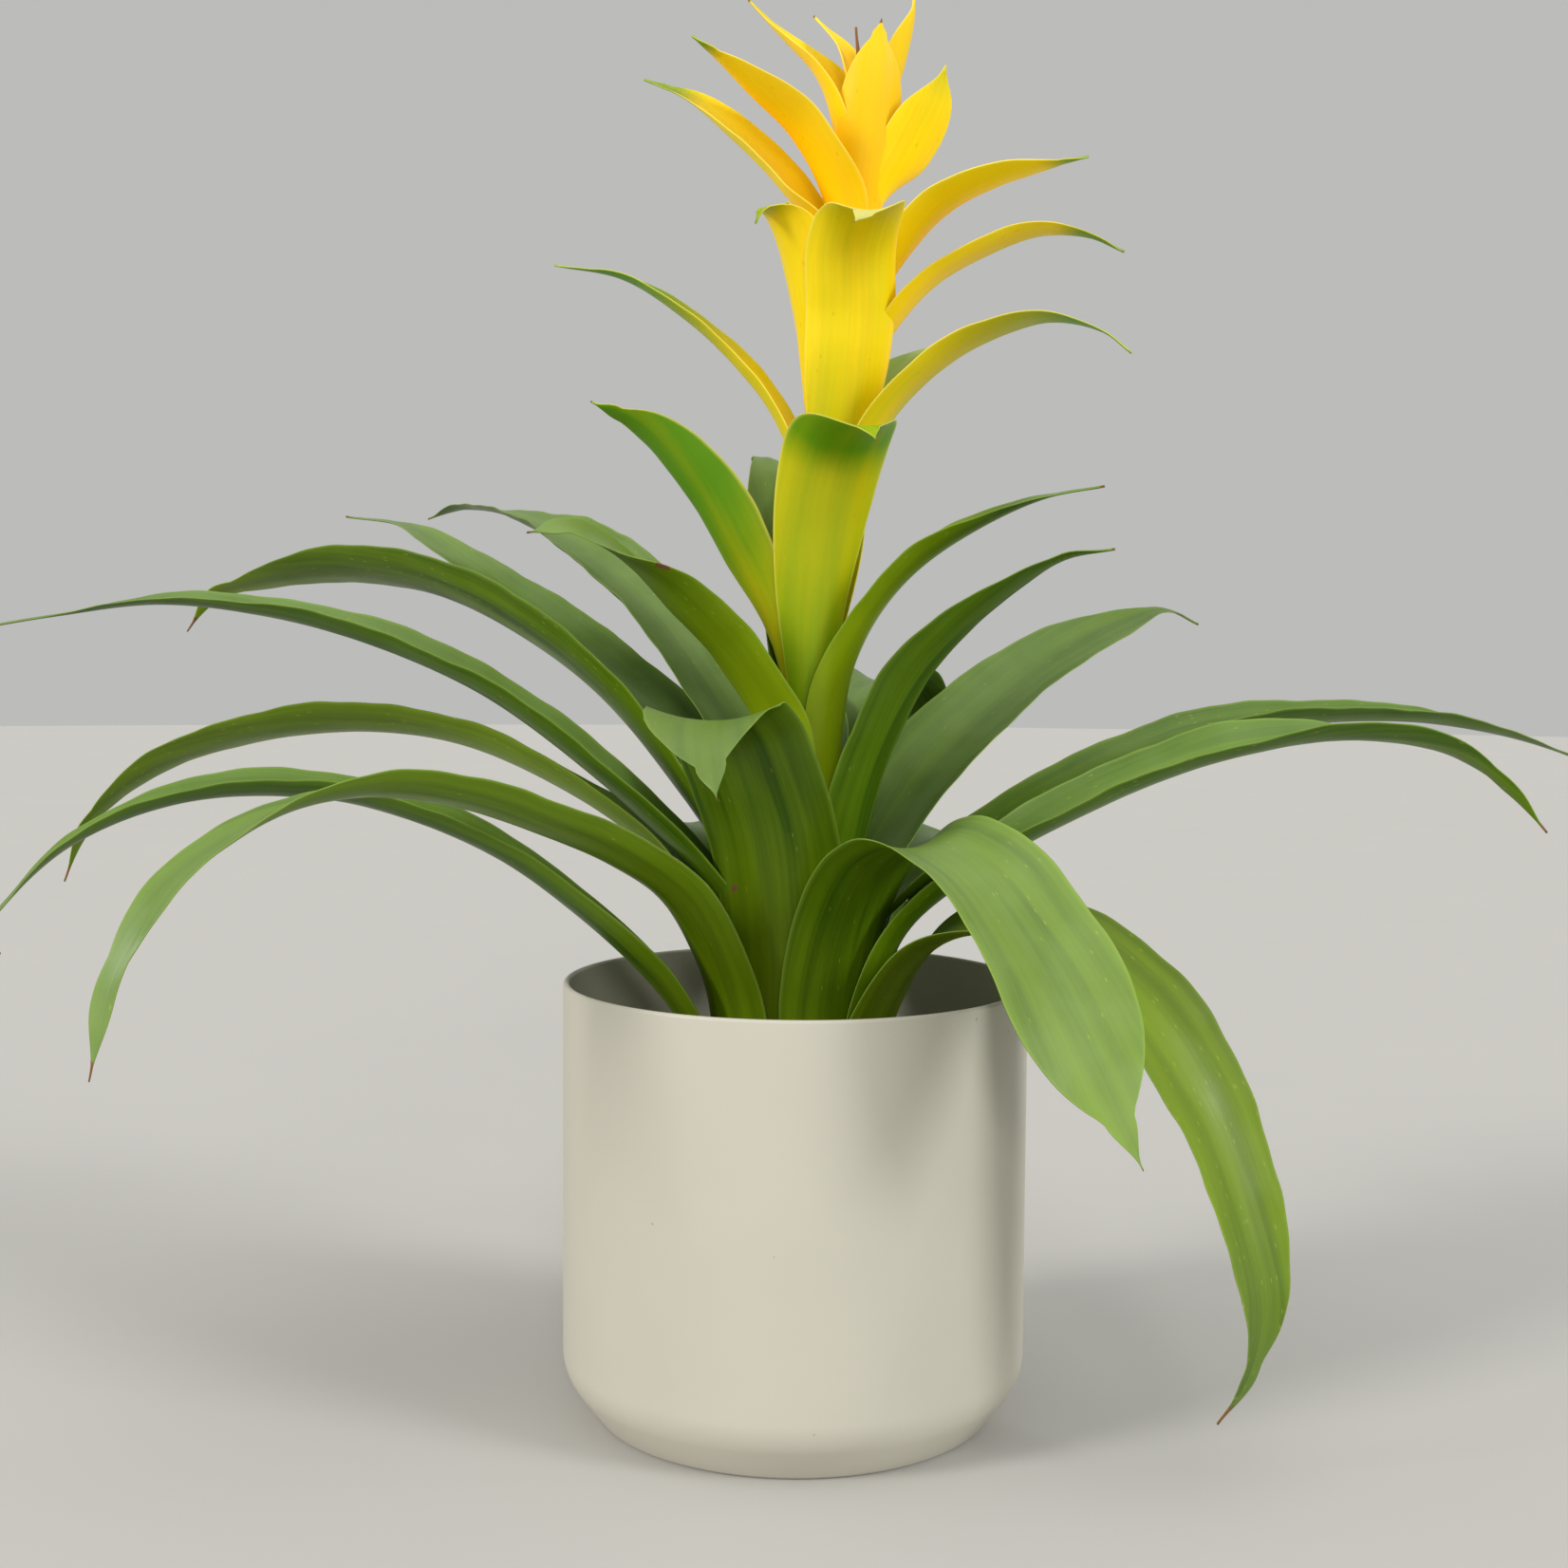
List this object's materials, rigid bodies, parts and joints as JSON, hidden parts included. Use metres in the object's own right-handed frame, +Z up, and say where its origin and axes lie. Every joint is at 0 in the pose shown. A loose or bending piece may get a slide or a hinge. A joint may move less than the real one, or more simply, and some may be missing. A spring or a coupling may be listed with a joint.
{
  "type": "potted guzmania",
  "caption": "Potted bromeliad: arching strap leaves round a tall spike of yellow bracts, standing in a plain round cover pot with tapered foot.",
  "frame": {"origin": "centre of the cover pot's flat base, on the surface it stands on", "axes": "+Z up along the pot's axis, +X to the viewer's right and +Y away from the viewer as pictured"},
  "size_m": [0.554, 0.3057, 0.4533],
  "materials": {
    "pot_paint": "stone-white satin-matt paint on pressed sheet",
    "grower_plastic": "black moulded plastic",
    "potting_mix": "dark bark and peat mix",
    "stem_tissue": "pale green plant stem, slightly waxy",
    "leaf_tissue": "green leaf with a soft waxy sheen",
    "bract_tissue": "yellow bract with a soft waxy sheen"
  },
  "bodies": {
    "root": {"cover_pot": "pot_paint", "grower_pot": "grower_plastic", "potting_mix": "potting_mix", "flower_stem": "stem_tissue", "leaf_01": "leaf_tissue", "leaf_02": "leaf_tissue", "leaf_03": "leaf_tissue", "leaf_04": "leaf_tissue", "leaf_05": "leaf_tissue", "leaf_06": "leaf_tissue", "leaf_07": "leaf_tissue", "leaf_08": "leaf_tissue", "leaf_09": "leaf_tissue", "leaf_10": "leaf_tissue", "leaf_11": "leaf_tissue", "leaf_12": "leaf_tissue", "leaf_13": "leaf_tissue", "leaf_14": "leaf_tissue", "leaf_15": "leaf_tissue", "leaf_16": "leaf_tissue", "leaf_17": "leaf_tissue", "leaf_18": "leaf_tissue", "leaf_19": "leaf_tissue", "leaf_20": "leaf_tissue", "leaf_21": "leaf_tissue", "leaf_22": "leaf_tissue", "leaf_23": "leaf_tissue", "bract_01": "bract_tissue", "bract_02": "bract_tissue", "bract_03": "bract_tissue", "bract_04": "bract_tissue", "bract_05": "bract_tissue", "bract_06": "bract_tissue", "bract_07": "bract_tissue", "bract_08": "bract_tissue", "bract_09": "bract_tissue", "bract_10": "bract_tissue", "bract_11": "bract_tissue", "bract_12": "bract_tissue", "bract_13": "bract_tissue", "bract_14": "bract_tissue", "bract_15": "bract_tissue", "bract_16": "bract_tissue", "bract_17": "bract_tissue", "bract_18": "bract_tissue", "bract_19": "bract_tissue", "bract_20": "bract_tissue", "bract_21": "bract_tissue", "bract_22": "bract_tissue", "bract_23": "bract_tissue", "bract_24": "bract_tissue"}
  },
  "joints": []
}
